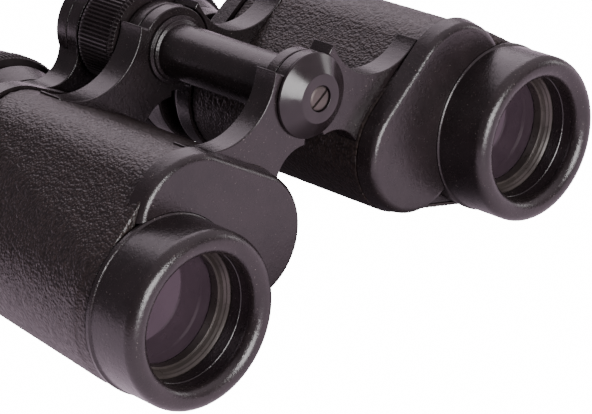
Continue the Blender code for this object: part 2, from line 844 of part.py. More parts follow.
def focus_wheel(parent):
    bore = SPINDLE_R + RUNNING
    profile = [
        (bore, WHEEL_FRONT),
        (WHEEL_R + 0.2, WHEEL_FRONT),
        (WHEEL_R + 0.3, WHEEL_FRONT + 0.8),
        (WHEEL_R - 0.7, WHEEL_FRONT + 1.0),
        (WHEEL_R, WHEEL_FRONT + 1.7),
        (WHEEL_R, WHEEL_REAR - 0.6),
        (WHEEL_R - 0.7, WHEEL_REAR),
        (bore, WHEEL_REAR),
    ]
    turned("focus_wheel", profile, parent, ANODISED, FINE)


def focus_spindle(parent):
    profile = [(0, 36.0), (SPINDLE_R, 36.0), (SPINDLE_R, 82.5), (0, 82.5)]
    turned("focus_spindle", profile, parent, BRASS, COARSE)


def bridge_cap(parent):
    """The round nut that closes the bridge hub behind."""
    front = BRIDGE[1] + 0.45
    bore = SPINDLE_R + GAP
    profile = [
        (bore, front),
        (9.0, front),
        (9.0, front + 1.2),
        (7.4, front + 2.6),
        (0, front + 3.2),
        (0, front + 2.0),
        (bore, front + 2.0),
    ]
    turned("bridge_cap", profile, parent, ANODISED, COARSE)


# ------------------------------------------------------------------ assembly


def barrel_half(side, hinge_axis):
    name = SIDE_NAMES[side]
    half = axis_empty(f"{name}_half", (0, 0, 0), hinge_axis)
    x, z = OBJECTIVE_AXIS
    objective = axis_empty(f"{name}_objective_axis", (side * x, 0, z), half)
    x, z = EYE_AXIS
    eye = axis_empty(f"{name}_eye_axis", (side * x, 0, z), half)
    body_casting(side, half)
    leatherette(side, half)
    front_cover(side, half)
    rear_cover(side, half)
    strap_lug(side, half)
    prism_shelf(side, half)
    axes = (PRISM_AXIS, EYE_AXIS)
    prism_and_clip("front", side, FRONT_PRISM_BASE, -1, axes, half)
    axes = (OBJECTIVE_AXIS, PRISM_AXIS)
    prism_and_clip("rear", side, REAR_PRISM_BASE, 1, axes, half)
    for make in (objective_tube, objective_retaining_ring, objective_cell, objective_lenses):
        make(side, objective)
    bridge_arm(side, half)
    for make in (
        eyepiece_sleeve,
        ocular_tube,
        eyepiece_skirt,
        lens_barrel,
        eyepiece_lenses,
        eyecup,
    ):
        make(side, eye)
    knurled_ring("diopter_ring" if side == RIGHT else "left_eyepiece_ring", eye)


def main():
    clear_scene()
    hinge_axis = axis_empty("hinge_axis", (0, -LENGTH_MIDDLE, HINGE_HEIGHT))
    for side in (RIGHT, LEFT):
        barrel_half(side, hinge_axis)
    for make in (
        hinge_axle,
        hinge_tube,
        hinge_cap,
        hinge_cap_screw,
        focus_wheel,
        focus_spindle,
        bridge_cap,
    ):
        make(hinge_axis)


main()
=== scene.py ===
import math

import bmesh
import bpy
import numpy as np
from mathutils import Matrix, Vector, noise


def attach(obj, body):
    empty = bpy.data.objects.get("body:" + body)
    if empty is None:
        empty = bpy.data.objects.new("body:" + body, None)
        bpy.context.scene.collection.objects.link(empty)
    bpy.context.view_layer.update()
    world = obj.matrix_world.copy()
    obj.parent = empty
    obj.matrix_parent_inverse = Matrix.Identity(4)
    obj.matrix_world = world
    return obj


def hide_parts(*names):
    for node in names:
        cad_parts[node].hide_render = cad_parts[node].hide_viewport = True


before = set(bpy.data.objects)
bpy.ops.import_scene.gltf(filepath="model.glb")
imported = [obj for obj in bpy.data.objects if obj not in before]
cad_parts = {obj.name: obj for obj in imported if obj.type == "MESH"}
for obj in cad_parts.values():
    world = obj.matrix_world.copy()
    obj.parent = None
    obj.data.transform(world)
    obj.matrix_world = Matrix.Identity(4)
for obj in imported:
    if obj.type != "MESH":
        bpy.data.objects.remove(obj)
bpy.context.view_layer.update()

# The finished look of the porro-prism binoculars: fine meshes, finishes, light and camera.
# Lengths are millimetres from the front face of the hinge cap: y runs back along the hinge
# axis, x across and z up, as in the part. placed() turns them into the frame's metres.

RIGHT, LEFT = -1, 1
SIDE_NAMES = {RIGHT: "right", LEFT: "left"}
STEPS = 144
HULL_STEPS = 120
ARC_STEP = 0.6
SHARP_EDGE = math.radians(32.0)
GAP = 0.3

OBJECTIVE_AXIS = (53.05, -27.68)
PRISM_AXIS = (41.8, -12.9)
EYE_AXIS = (27.0, -23.6)
BARREL_AXES = (OBJECTIVE_AXIS, PRISM_AXIS, EYE_AXIS)
PART_ORIGIN = (0.0, -42.0, 48.43)

TUBE_R = 20.35
TUBE_LIP_R = 20.75
SKIN_FRONT_RADII = (20.6, 14.9, 16.3)
SKIN_REAR_RADII = (16.5, 14.9, 16.3)
SKIN = 0.8
WALL = 2.2
BODY = (3.3, 61.4)
COVER = (-2.1, 2.6)
COVER_R = 16.0
REAR_COVER = (61.7, 67.2)
RIM_PROUD = 0.6
BOSS_R = 20.35

FRONT_KNUCKLE = (3.7, 10.2)
MIDDLE_KNUCKLE = (50.4, 58.0)
RING_CLEARANCE = 0.35
UPPER_ARC = (24.5, 13.0, 16.0)
LOWER_ARC = (4.5, -20.0, 8.7)
EAR = (12.6, 46.0)
SCREW_SLOT_ANGLE = -29.0
HUB_R = 12.0
COLLAR_R = 17.0
COLLAR_PROUD = 0.12
OCULAR_BORE_R = 12.35

LEATHER_VOXEL = 0.42


# ------------------------------------------------------------------- meshes


def placed(points):
    return (np.asarray(points, float) + PART_ORIGIN) * 0.001


def mesh_object(name, points, faces):
    """A closed mesh from points in millimetres, with its faces turned outwards."""
    mesh = bpy.data.meshes.new(name)
    mesh.from_pydata([tuple(p) for p in placed(points)], [], [tuple(f) for f in faces])
    bm = bmesh.new()
    bm.from_mesh(mesh)
    bmesh.ops.recalc_face_normals(bm, faces=bm.faces)
    bm.to_mesh(mesh)
    bm.free()
    mesh.shade_smooth()
    mesh.set_sharp_from_angle(angle=SHARP_EDGE)
    obj = bpy.data.objects.new(name, mesh)
    bpy.context.scene.collection.objects.link(obj)
    return obj


def settled(obj):
    """Applies an object's modifiers."""
    graph = bpy.context.evaluated_depsgraph_get()
    mesh = bpy.data.meshes.new_from_object(obj.evaluated_get(graph))
    obj.modifiers.clear()
    obj.data = mesh


def combined(obj, others, operation):
    """Cuts the others from obj, or joins them to it, and removes them."""
    for other in others:
        modifier = obj.modifiers.new(other.name, "BOOLEAN")
        modifier.object = other
        modifier.operation = operation
        modifier.solver = "MANIFOLD"
    settled(obj)
    for other in others:
        bpy.data.objects.remove(other)
    obj.data.shade_smooth()
    obj.data.set_sharp_from_angle(angle=SHARP_EDGE)
    return obj


def cut(obj, *others):
    return combined(obj, others, "DIFFERENCE")


def join(obj, *others):
    return combined(obj, others, "UNION")


def eased(obj, width=0.35):
    """Rounds the sharp edges over."""
    bevel = obj.modifiers.new("eased", "BEVEL")
    bevel.width = width * 0.001
    bevel.segments = 3
    bevel.limit_method = "ANGLE"
    bevel.angle_limit = math.radians(35)
    bevel.use_clamp_overlap = False
    bevel.miter_outer = "MITER_ARC"
    settled(obj)
    obj.data.shade_smooth()
    return obj


def weighted(obj):
    normals = obj.modifiers.new("weighted", "WEIGHTED_NORMAL")
    normals.keep_sharp = True


def rounded(profile):
    """The profile's points, with each (radius, y, fillet) corner drawn as a small curve."""
    points = []
    for i, (radius, y, *fillet) in enumerate(profile):
        here = np.array((radius, y))
        if not fillet:
            points.append(here)
            continue
        before = np.array(profile[i - 1][:2]) - here
        after = np.array(profile[(i + 1) % len(profile)][:2]) - here
        lengths = np.linalg.norm(before), np.linalg.norm(after)
        before, after = before / lengths[0], after / lengths[1]
        half = math.acos(np.clip(before @ after, -1, 1)) / 2
        reach = min(fillet[0] / math.tan(half), 0.49 * lengths[0], 0.49 * lengths[1])
        start, end = here + before * reach, here + after * reach
        for t in np.linspace(0, 1, 6):
            points.append((1 - t) ** 2 * start + 2 * t * (1 - t) * here + t * t * end)
    return points


def crest(angles, count):
    """How far up a rib each angle lies: 0 in the grooves and 1 on the ribs."""
    wave = 0.5 + 0.5 * np.cos(count * angles)
    return np.clip(1.35 * wave * wave * (3 - 2 * wave), 0, 1)


def turned(name, profile, centre=(0.0, 0.0), steps=STEPS, ribs=None):
    """Turns a closed profile of (radius, y) points about the y axis through centre.
    ribs=(count, root radius) cuts count grooves down to the root radius."""
    if ribs:
        steps = ribs[0] * 6
    angles = 2 * math.pi * np.arange(steps) / steps
    points, rows = [], []
    for radius, y in rounded(profile):
        if radius < 1e-6:
            rows.append([len(points)] * steps)
            points.append((centre[0], y, centre[1]))
            continue
        reach = np.full(steps, radius)
        if ribs and radius > ribs[1]:
            reach = ribs[1] + (radius - ribs[1]) * crest(angles, ribs[0])
        rows.append(list(range(len(points), len(points) + steps)))
        points += zip(
            centre[0] + reach * np.cos(angles), [y] * steps, centre[1] + reach * np.sin(angles)
        )
    faces = []
    for near, far in zip(rows, rows[1:] + rows[:1]):
        for i in range(steps):
            j = (i + 1) % steps
            corners = dict.fromkeys((near[i], near[j], far[j], far[i]))
            if len(corners) > 2:
                faces.append(tuple(corners))
    return mesh_object(name, points, faces)


def disc(name, radius, y_front, y_back, centre=(0.0, 0.0)):
    profile = [(0, y_front), (radius, y_front), (radius, y_back), (0, y_back)]
    return turned(name, profile, centre)


def loft(name, rings):
    """Skins rings of equal count and closes both ends."""
    count = len(rings[0])
    points = [point for ring in rings for point in ring]
    faces = [tuple(range(count)), tuple(range(len(points) - 1, len(points) - count - 1, -1))]
    for row in range(len(rings) - 1):
        for i in range(count):
            j = (i + 1) % count
            a, b = row * count, (row + 1) * count
            faces.append((a + i, a + j, b + j, b + i))
    return mesh_object(name, points, faces)


def plate(name, outline, y_front, y_back):
    """Extrudes an outline of (x, z) points along y."""
    return loft(name, [[(x, y, z) for x, z in outline] for y in (y_front, y_back)])


def hull_ring(centres, radii, y, side):
    """Points on the hull of circles, one for each of HULL_STEPS directions."""
    angles = 2 * math.pi * np.arange(HULL_STEPS) / HULL_STEPS
    ways = np.stack([np.cos(angles), np.sin(angles)], -1)
    centres, radii = np.array(centres), np.array(radii)
    best = np.argmax(ways @ centres.T + radii, axis=1)
    flat = centres[best] + radii[best, None] * ways
    return [(side * x, y, z) for x, z in flat]


def barrel_ring(y, inset, side):
    """The barrel's section at y, drawn in by inset."""
    along = (y - BODY[0]) / (BODY[1] - BODY[0])
    radii = [f + (r - f) * along - inset for f, r in zip(SKIN_FRONT_RADII, SKIN_REAR_RADII)]
    return hull_ring(BARREL_AXES, radii, y, side)


def barrel_solid(name, y_front, y_back, inset, side):
    return loft(name, [barrel_ring(y, inset, side) for y in (y_front, y_back)])


def rear_solid(name, rows, side):
    """A solid of the barrel's rear section, from rows of (growth, y)."""
    rings = [hull_ring(BARREL_AXES, [r + g for r in SKIN_REAR_RADII], y, side) for g, y in rows]
    return loft(name, rings)


def cover_solid(name, rows, side):
    """A solid round the prism and eyepiece axes, from rows of (radius, y)."""
    return loft(name, [hull_ring((PRISM_AXIS, EYE_AXIS), (r, r), y, side) for r, y in rows])


def cover_room(name, side):
    """The room that the front cover needs in whatever stands behind it."""
    return cover_solid(name, [(COVER_R + GAP, y) for y in (COVER[0] - 8, COVER[1] + GAP)], side)


def lid_rows(grow=0.0):
    """The front cover's side, rolled over at its front edge and grown by grow."""
    rows = []
    for t in np.linspace(0, math.pi / 2 * 0.95, 10):
        rows.append((COVER_R - 2.3 + 1.8 * math.sin(t) + grow, COVER[0] + 2.0 * (1 - math.cos(t))))
    return [*rows, (COVER_R + grow, COVER[1] + 2 * grow)]


def arc(centre, radius, start, end):
    """Points from start to end degrees on a circle in the x-z plane, about ARC_STEP apart."""
    count = max(2, round(abs(math.radians(end - start)) * radius / ARC_STEP))
    angles = np.radians(np.linspace(start, end, count + 1))
    return [(centre[0] + radius * math.cos(a), centre[1] + radius * math.sin(a)) for a in angles]


def polar(radius, degrees):
    return radius * math.cos(math.radians(degrees)), radius * math.sin(math.radians(degrees))


def centred(axis, side):
    return side * axis[0], axis[1]


# ----------------------------------------------------------------- finishes


class Finish:
    """A Principled material whose textures are laid out in millimetres of the object's space."""

    def __init__(self, name, **values):
        self.material = bpy.data.materials.new(name)
        self.material.use_nodes = True
        self.tree = self.material.node_tree
        self.shader = self.tree.nodes["Principled BSDF"]
        for socket, value in values.items():
            self.shader.inputs[socket.replace("_", " ")].default_value = value
        coordinates = self.add("ShaderNodeTexCoord").outputs["Object"]
        scaled = self.add("ShaderNodeVectorMath", operation="SCALE")
        scaled.inputs["Scale"].default_value = 1000.0
        self.wire(coordinates, scaled.inputs[0])
        self.mm = scaled.outputs[0]

    def add(self, kind, **settings):
        node = self.tree.nodes.new(kind)
        for setting, value in settings.items():
            setattr(node, setting, value)
        return node

    def wire(self, source, target):
        self.tree.links.new(source, target)

    def noise(self, size, detail, roughness=0.55):
        """Noise whose blobs are about size millimetres across."""
        node = self.add("ShaderNodeTexNoise")
        node.inputs["Scale"].default_value = 1.0 / size
        node.inputs["Detail"].default_value = detail
        node.inputs["Roughness"].default_value = roughness
        self.wire(self.mm, node.inputs["Vector"])
        return node.outputs["Fac"]

    def cells(self, size):
        """Rounded cells about size millimetres across, from 0 at their centres."""
        node = self.add("ShaderNodeTexVoronoi", feature="SMOOTH_F1")
        node.inputs["Scale"].default_value = 1.0 / size
        self.wire(self.mm, node.inputs["Vector"])
        return node.outputs["Distance"]

    def span(self, value, low, high, to_low, to_high):
        node = self.add("ShaderNodeMapRange")
        for socket, number in zip(range(1, 5), (low, high, to_low, to_high)):
            node.inputs[socket].default_value = number
        self.wire(value, node.inputs[0])
        return node.outputs[0]

    def blend(self, factor, first, second):
        """A colour from first to second as factor goes from 0 to 1; each is a tuple or a socket."""
        node = self.add("ShaderNodeMix", data_type="RGBA")
        sockets = [s for s in node.inputs if s.type == "RGBA"]
        for socket, colour in zip(sockets, (first, second)):
            if isinstance(colour, tuple):
                socket.default_value = (*colour, 1.0)
            else:
                self.wire(colour, socket)
        self.wire(factor, node.inputs[0])
        return next(s for s in node.outputs if s.type == "RGBA")

    def bump(self, height, depth, normal=None):
        """Raises the surface by height times depth millimetres."""
        node = self.add("ShaderNodeBump")
        node.inputs["Strength"].default_value = 1.0
        node.inputs["Distance"].default_value = depth * 0.001
        self.wire(height, node.inputs["Height"])
        if normal:
            self.wire(normal, node.inputs["Normal"])
        return node.outputs["Normal"]

    def surface(self, colour, roughness, normal):
        for socket, value in (("Base Color", colour), ("Roughness", roughness), ("Normal", normal)):
            self.wire(value, self.shader.inputs[socket])
        return self.material


def worn(name, colour, rough, grain, depth, peel, dust, **values):
    """Paint, metal or plastic: mottled colour, uneven gloss, a fine grain, orange peel and
    specks of dust."""
    finish = Finish(name, **values)
    mottle = finish.span(finish.noise(7.0, 4), 0.35, 0.65, 0.0, 1.0)
    light = tuple(min(1.0, c * 1.25) for c in colour)
    dark = tuple(c * 0.8 for c in colour)
    shade = finish.blend(mottle, dark, light)
    gloss = finish.span(finish.noise(2.2, 5, 0.65), 0.3, 0.7, rough * 0.8, rough * 1.2)
    if dust:
        specks = finish.span(finish.noise(0.42, 2), 0.74 - dust * 0.1, 0.80, 0.0, 0.8)
        shade = finish.blend(specks, shade, (0.26, 0.225, 0.205))
    normal = finish.bump(finish.noise(grain, 2), depth)
    if peel:
        normal = finish.bump(finish.noise(1.1, 2, 0.6), peel, normal)
    return finish.surface(shade, gloss, normal)


def leather():
    """Glossy grained leatherette: small domed pebbles over a wavy ground, with painted shade darkening
    the ground between the pebbles.
    """
    finish = Finish("leatherette", Specular_IOR_Level=0.55)
    cells = finish.cells(0.55)
    pebbles = finish.span(cells, 0.1, 0.62, 1.0, 0.0)
    mottle = finish.span(finish.noise(4.0, 4), 0.35, 0.65, 0.0, 1.0)
    shade = finish.blend(mottle, (0.021, 0.0140, 0.0120), (0.037, 0.0255, 0.0220))
    # Painted shade: the hollows between the pebbles are coloured near black.
    shade = finish.blend(pebbles, (0.0085, 0.0058, 0.0052), shade)
    gloss = finish.span(finish.noise(1.4, 4, 0.6), 0.3, 0.7, 0.28, 0.48)
    wavy = finish.bump(finish.noise(3.0, 2), 0.12)
    domed = finish.bump(pebbles, 0.11, wavy)
    return finish.surface(shade, gloss, finish.bump(finish.noise(0.3, 2), 0.02, domed))


def coated_glass():
    """Dark glass with the faint purple of an early coating."""
    finish = Finish(
        "coated_glass",
        Metallic=0.0,
        IOR=1.52,
        Specular_Tint=(1.0, 0.84, 0.96, 1.0),
        Specular_IOR_Level=0.42,
        Transmission_Weight=0.2,
    )
    haze = finish.span(finish.noise(9.0, 3), 0.35, 0.65, 0.0, 1.0)
    shade = finish.blend(haze, (0.036, 0.025, 0.032), (0.047, 0.033, 0.042))
    gloss = finish.span(finish.noise(3.0, 5, 0.7), 0.35, 0.7, 0.015, 0.05)
    return finish.surface(shade, gloss, finish.bump(finish.noise(20.0, 1), 0.01))


def clear_glass():
    finish = Finish("glass", IOR=1.52, Transmission_Weight=0.9)
    haze = finish.span(finish.noise(9.0, 3), 0.35, 0.65, 0.0, 1.0)
    shade = finish.blend(haze, (0.75, 0.76, 0.75), (0.85, 0.86, 0.85))
    gloss = finish.span(finish.noise(3.0, 5, 0.7), 0.35, 0.7, 0.01, 0.05)
    return finish.surface(shade, gloss, finish.bump(finish.noise(20.0, 1), 0.01))


BLACK = (0.0125, 0.0092, 0.0098)
# Colour, roughness, grain size and depth, orange peel depth and dust of each plain finish.
WORN = {
    "black_enamel": (BLACK, 0.25, 0.36, 0.045, 0.06, 0.6),
    "anodised_black": ((0.014, 0.0105, 0.0115), 0.2, 0.3, 0.002, 0, 0),
    "blackened_alloy": ((0.012, 0.009, 0.0095), 0.5, 0.3, 0.004, 0, 0),
    "wheel_black": ((0.013, 0.0095, 0.010), 0.3, 0.3, 0.006, 0.01, 0.3),
    "grey_ring": ((0.05, 0.042, 0.038), 0.3, 0.25, 0.005, 0, 0),
    "steel": ((0.42, 0.40, 0.39), 0.3, 0.3, 0.003, 0, 0),
    "screw_steel": ((0.07, 0.057, 0.053), 0.5, 0.25, 0.01, 0.01, 0.2),
    "brass": ((0.45, 0.32, 0.14), 0.35, 0.3, 0.003, 0, 0),
    "black_plastic": ((0.014, 0.0105, 0.011), 0.4, 0.35, 0.008, 0.01, 0),
}
# Values that are the same all over a surface, and so go straight on its shader.
SHADER_VALUES = {
    "black_enamel": {"Specular_IOR_Level": 0.55},
    "anodised_black": {"Specular_IOR_Level": 0.5},
    "grey_ring": {"Metallic": 0.3},
    "steel": {"Metallic": 1.0},
    "screw_steel": {"Metallic": 0.5},
    "brass": {"Metallic": 1.0},
}
FINISHES = {name: worn(name, *look, **SHADER_VALUES.get(name, {})) for name, look in WORN.items()}
FINISHES.update(leatherette=leather(), coated_glass=coated_glass(), glass=clear_glass())


def finished(obj, slot_name):
    obj.data.materials.clear()
    obj.data.materials.append(FINISHES[slot_name])


def show(obj, body, slot_name, node):
    """Gives a piece its finish, its body and the CAD node that it stands for."""
    finished(obj, slot_name)
    weighted(obj)
    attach(obj, body)
    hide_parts(node)


# ------------------------------------------------------------------ barrels


def upper_edge(end, grow=0.0):
    """The hollow upper edge of an arm, from the ear on its ring to end degrees."""
    x, z, radius = UPPER_ARC
    ear = polar(*EAR)
    start = 360 + math.degrees(math.atan2(ear[1] - z, ear[0] - x))
    return arc((x, z), radius - grow, start, end)


def lower_edge(start, grow=0.0):
    """The hollow lower edge of an arm, from start degrees back to its ring."""
    x, z, radius = LOWER_ARC
    return arc((x, z), radius - grow, start, 100)


def foot(start, end, y):
    """The stretch of the left barrel's wall that an arm's foot stands in, from start to end."""
    ring = [(x, z) for x, _, z in barrel_ring(y, 2.0, LEFT)]
    near = [min(range(len(ring)), key=lambda i: math.dist(ring[i], p)) for p in (start, end)]
    return ring[near[0] : near[1] + 1]


def knuckle(name, side, reach, ring_r):
    """An arm with its ring, which fills the front or the rear half of the reach. Its outline is
    drawn for the left barrel, and side mirrors it."""
    front, back = reach
    middle = (front + back) / 2
    y_own, y_meet, y_end = (front, middle - GAP / 2, back)
    if side == LEFT:
        y_own, y_meet, y_end = (back, middle + GAP / 2, front)
    clear_r = ring_r + RING_CLEARANCE
    upper, lower = upper_edge(311), lower_edge(2)
    shared = [polar(clear_r, EAR[1]), *upper, *foot(upper[-1], lower[0], middle), *lower]
    low = math.degrees(math.atan2(lower[-1][1], lower[-1][0]))
    shared.append(polar(clear_r, low))
    hub = arc((0, 0), ring_r, low, EAR[1] - 360)
    hollow = arc((0, 0), clear_r, low, EAR[1])[1:-1]
    points, faces = [], []

    def row(flat, y):
        points.extend((side * px, y, pz) for px, pz in flat)
        return list(range(len(points) - len(flat), len(points)))

    def wall(near, far):
        for i in range(len(near)):
            j = (i + 1) % len(near)
            faces.append((near[i], near[j], far[j], far[i]))

    own_near, own_far = row(shared + hub, y_own), row(shared + hub, y_meet)
    step, end = row(hollow, y_meet), row(shared + hollow, y_end)
    count = len(shared)
    wall(own_near, own_far)
    wall(own_far[:count] + step, end)
    faces += [own_near, end, [own_far[0], *step[::-1], *own_far[count - 1 :]]]
    arm = eased(mesh_object(name, points, faces))
    bore = disc(f"{name}_bore", 4.6, front - 1, back + 1)
    return cut(arm, cover_room(f"{name}_room", side), bore)


def casting(side):
    name, body = SIDE_NAMES[side], f"{SIDE_NAMES[side]}_barrel"
    metal = SKIN + GAP
    centre = centred(OBJECTIVE_AXIS, side)
    shell = barrel_solid(f"{name}_casting_shell", *BODY, metal, side)
    join(shell, disc("boss", 19.2, -1.2, 7.0, centre), disc("boss_lip", 20.3, -1.45, -0.75, centre))
    door = ((12.0, 2.0), (12.0, 8.6))
    cut(
        shell,
        cover_room("cover_room", side),
        barrel_solid("cavity", 7.6, BODY[1] + 2, metal + WALL, side),
        disc("boss_bore", 18.5, -3, 6.3, centre),
        disc("light_bore", 15.0, 2, 9, centre),
        cover_solid("prism_door", door, side),
    )
    show(shell, body, "black_enamel", f"{name}_body_casting")
    for place, reach, ring_r in (("front", FRONT_KNUCKLE, 9.75), ("middle", MIDDLE_KNUCKLE, 10.35)):
        arm = knuckle(f"{name}_{place}_knuckle", side, reach, ring_r)
        show(arm, body, "black_enamel", f"{name}_body_casting")


def notch_outline(side):
    """The outline that the leatherette leaves free for an arm."""
    grow = 0.08
    ends = [PRISM_AXIS, EYE_AXIS]
    outline = [polar(6.0, EAR[1]), *upper_edge(310.6, grow), *ends, *lower_edge(5, grow)]
    return [(side * x, z) for x, z in outline]


def grained(obj, shift):
    """Presses pebbles and a slow swell into a fine mesh."""
    mesh = obj.data
    count = len(mesh.vertices)
    places, normals = np.empty(count * 3), np.empty(count * 3)
    mesh.vertices.foreach_get("co", places)
    mesh.vertices.foreach_get("normal", normals)
    places, normals = places.reshape(-1, 3), normals.reshape(-1, 3)
    depth = np.empty(count)
    for i, place in enumerate(places * 1000 + shift):
        near = noise.voronoi(Vector(place) / 0.85)[0][0]
        swell = noise.noise(Vector(place) / 4.0)
        depth[i] = 0.12 * min(1.0, 1.4 * near) ** 2 + 0.06 * (0.5 + 0.5 * swell)
    places -= normals * depth[:, None] * 0.001
    mesh.vertices.foreach_set("co", places.ravel())
    mesh.update()


def leatherette(side):
    name = SIDE_NAMES[side]
    centre = centred(OBJECTIVE_AXIS, side)
    skin = barrel_solid(f"{name}_leather", COVER[1] + 0.3, 61.0, 0.0, side)
    rows = [((BOSS_R, 15.3), -0.7), ((BOSS_R + 0.2, 14.9), BODY[0] + 1.0)]
    tongue = [hull_ring(BARREL_AXES[:2], radii, y, side) for radii, y in rows]
    join(skin, loft("skin_tongue", tongue))
    even = skin.modifiers.new("even", "REMESH")
    even.mode = "VOXEL"
    even.voxel_size = LEATHER_VOXEL * 0.001
    settled(skin)
    grained(skin, (side * 30.0, 0, 0))
    cutters = [
        barrel_solid("skin_core", 2, 63, SKIN + 0.2, side),
        disc("skin_bore", 19.3, -4, 8.6, centre),
        cover_solid("skin_cover_room", lid_rows(0.12), side),
    ]
    for front, back in (FRONT_KNUCKLE, MIDDLE_KNUCKLE):
        cutters.append(plate(f"notch_{front}", notch_outline(side), front - 0.1, back + 0.1))
    cut(skin, *cutters)
    show(skin, f"{name}_barrel", "leatherette", f"{name}_leatherette")


def covers(side):
    name, body = SIDE_NAMES[side], f"{SIDE_NAMES[side]}_barrel"
    front = cover_solid(f"{name}_front_lid", lid_rows(), side)
    hollow = ((COVER_R - 3.2, COVER[0] + 1.9), (COVER_R - 2.8, COVER[1] + 2))
    tube_room = disc("tube_room", TUBE_LIP_R + 0.12, -9, 9, centred(OBJECTIVE_AXIS, side))
    cut(front, cover_solid("lid_hollow", hollow, side), tube_room)
    show(front, body, "black_enamel", f"{name}_front_cover")

    rows = [(RIM_PROUD, REAR_COVER[0])]
    for t in np.linspace(0, math.pi / 2, 9):
        rows.append((RIM_PROUD - 1.0 + math.cos(t), REAR_COVER[1] - 1.0 + math.sin(t)))
    rear = rear_solid(f"{name}_rear_lid", rows, side)
    hollow = rear_solid("rear_hollow", [(-WALL, 60), (-WALL, 64.2)], side)
    cut(rear, hollow, disc("sleeve_hole", 13.9, 60, 70, centred(EYE_AXIS, side)))
    show(rear, body, "black_enamel", f"{name}_rear_cover")


def strap_lug(side):
    name = SIDE_NAMES[side]
    middle_y, half, reach, thickness = 52.0, 6.5, 5.0, 3.0
    taper = (SKIN_REAR_RADII[0] - SKIN_FRONT_RADII[0]) / (BODY[1] - BODY[0])
    surface = OBJECTIVE_AXIS[0] + SKIN_FRONT_RADII[0] + taper * (middle_y - BODY[0]) + GAP
    corner, corner_x = 2.2, surface + reach - 2.2
    outline = [(surface - taper * half, middle_y - half)]
    for y, start in ((middle_y - half + corner, -90), (middle_y + half - corner, 0)):
        outline += arc((corner_x, y), corner, start, start + 90)
    outline.append((surface + taper * half, middle_y + half))
    low, high = OBJECTIVE_AXIS[1] - thickness / 2, OBJECTIVE_AXIS[1] + thickness / 2
    lug = loft(f"{name}_lug", [[(side * x, y, z) for x, y in outline] for z in (low, high)])
    slot_x = side * (surface + 2.3)
    corners = ((-1.1, -4.3), (1.1, -4.3), (1.1, 4.3), (-1.1, 4.3))
    slot = [[(slot_x + x, middle_y + y, z) for x, y in corners] for z in (low - 3.5, high + 3.5)]
    cut(lug, loft("lug_slot", slot))
    show(eased(lug, 0.5), f"{name}_barrel", "steel", f"{name}_strap_lug")


# --------------------------------------------------------------- objectives


def dish(radius, curve, y_vertex, towards):
    """Points on a lens face from its vertex out to its edge."""
    radii = np.linspace(0, radius, 20)
    return [(r, y_vertex + towards * (curve - math.sqrt(curve**2 - r * r))) for r in radii]


def objective(side):
    name, body = SIDE_NAMES[side], f"{SIDE_NAMES[side]}_barrel"
    centre = centred(OBJECTIVE_AXIS, side)
    roll_r, roll_y, roll = 17.65, -13.3, 2.7
    rim = []
    for t in np.linspace(0, math.pi, 17):
        rim.append((roll_r + roll * math.cos(t), roll_y - roll * math.sin(t)))
    tube = [
        (TUBE_LIP_R, -1.5),
        (TUBE_LIP_R, -2.3, 0.2),
        (TUBE_R, -2.6, 0.3),
        *rim,
        (15.3, -12.5, 0.3),
        (15.3, -10.12),
        (15.14, -10.0),
        (15.3, -9.88),
        (15.3, -6.9),
        (16.6, -6.9),
        (16.6, 6.0),
        (18.2, 6.0),
        (18.2, -1.5),
    ]
    show(turned(f"{name}_tube", tube, centre), body, "black_enamel", f"{name}_objective_tube")
    ring = [
        (16.3, -6.6),
        (15.15, -6.6, 0.08),
        (14.7, -6.15, 0.1),
        (14.62, -5.95, 0.08),
        (14.2, -5.5, 0.1),
        (14.1, -5.3, 0.08),
        (13.75, -4.7, 0.1),
        (13.3, -4.7, 0.15),
        (13.3, -2.5),
        (16.3, -2.5),
    ]
    show(turned(f"{name}_ring", ring, centre), body, "grey_ring", f"{name}_objective_retaining_ring")
    lens = dish(15.6, 75.0, -3.4, 1) + dish(15.6, 55.0, 1.6, -1)[::-1]
    show(turned(f"{name}_lens", lens, centre), body, "coated_glass", f"{name}_crown_lens")


# -------------------------------------------------------------------- hinge


def hinge():
    tube = [
        (4.6, 10.5),
        (6.7, 10.5, 0.2),
        (6.7, 48.5, 0.2),
        (7.5, 48.8, 0.2),
        (7.5, 49.4, 0.1),
        (8.4, 49.55, 0.15),
        (8.4, 50.1, 0.15),
        (4.6, 50.1),
    ]
    show(turned("centre_tube", tube), "right_barrel", "black_enamel", "hinge_tube")
    cap = [
        (3.1, 0.0, 0.12),
        (5.7, 0.0, 0.5),
        (9.9, 2.82, 0.35),
        (10.05, 3.1, 0.15),
        (10.05, 3.35),
        (1.9, 3.35),
        (1.9, 1.2),
        (3.1, 1.2),
    ]
    show(turned("front_cap", cap), "right_barrel", "anodised_black", "hinge_cap")
    screw = [
        (0, 0.12),
        (2.3, 0.16, 0.8),
        (2.85, 0.45, 0.3),
        (2.85, 0.9),
        (1.6, 0.9),
        (1.6, 8.5),
        (0, 8.5),
    ]
    head = turned("cap_screw", screw, steps=72)
    slot_cut = plate("slot_cut", [(-4, -0.34), (4, -0.34), (4, 0.34), (-4, 0.34)], -1.0, 0.85)
    axis = Vector(placed((0, 0, 0)))
    spin = Matrix.Rotation(math.radians(SCREW_SLOT_ANGLE), 4, "Y")
    slot_cut.data.transform(Matrix.Translation(axis) @ spin @ Matrix.Translation(-axis))
    show(cut(head, slot_cut), "right_barrel", "screw_steel", "hinge_cap_screw")
    wheel = [
        (4.6, 58.6),
        (12.6, 58.6, 0.1),
        (13.28, 59.3, 0.15),
        (13.28, 59.6, 0.1),
        (12.4, 59.9),
        (12.4, 60.1),
        (13.0, 60.6, 0.3),
        (13.0, 71.2, 0.4),
        (12.3, 72.0, 0.2),
        (4.6, 72.0),
    ]
    wheel = turned("thumb_wheel", wheel, ribs=(80, 12.45))
    show(wheel, "focus_wheel", "wheel_black", "focus_wheel")


# ---------------------------------------------------------- bridge and eyes


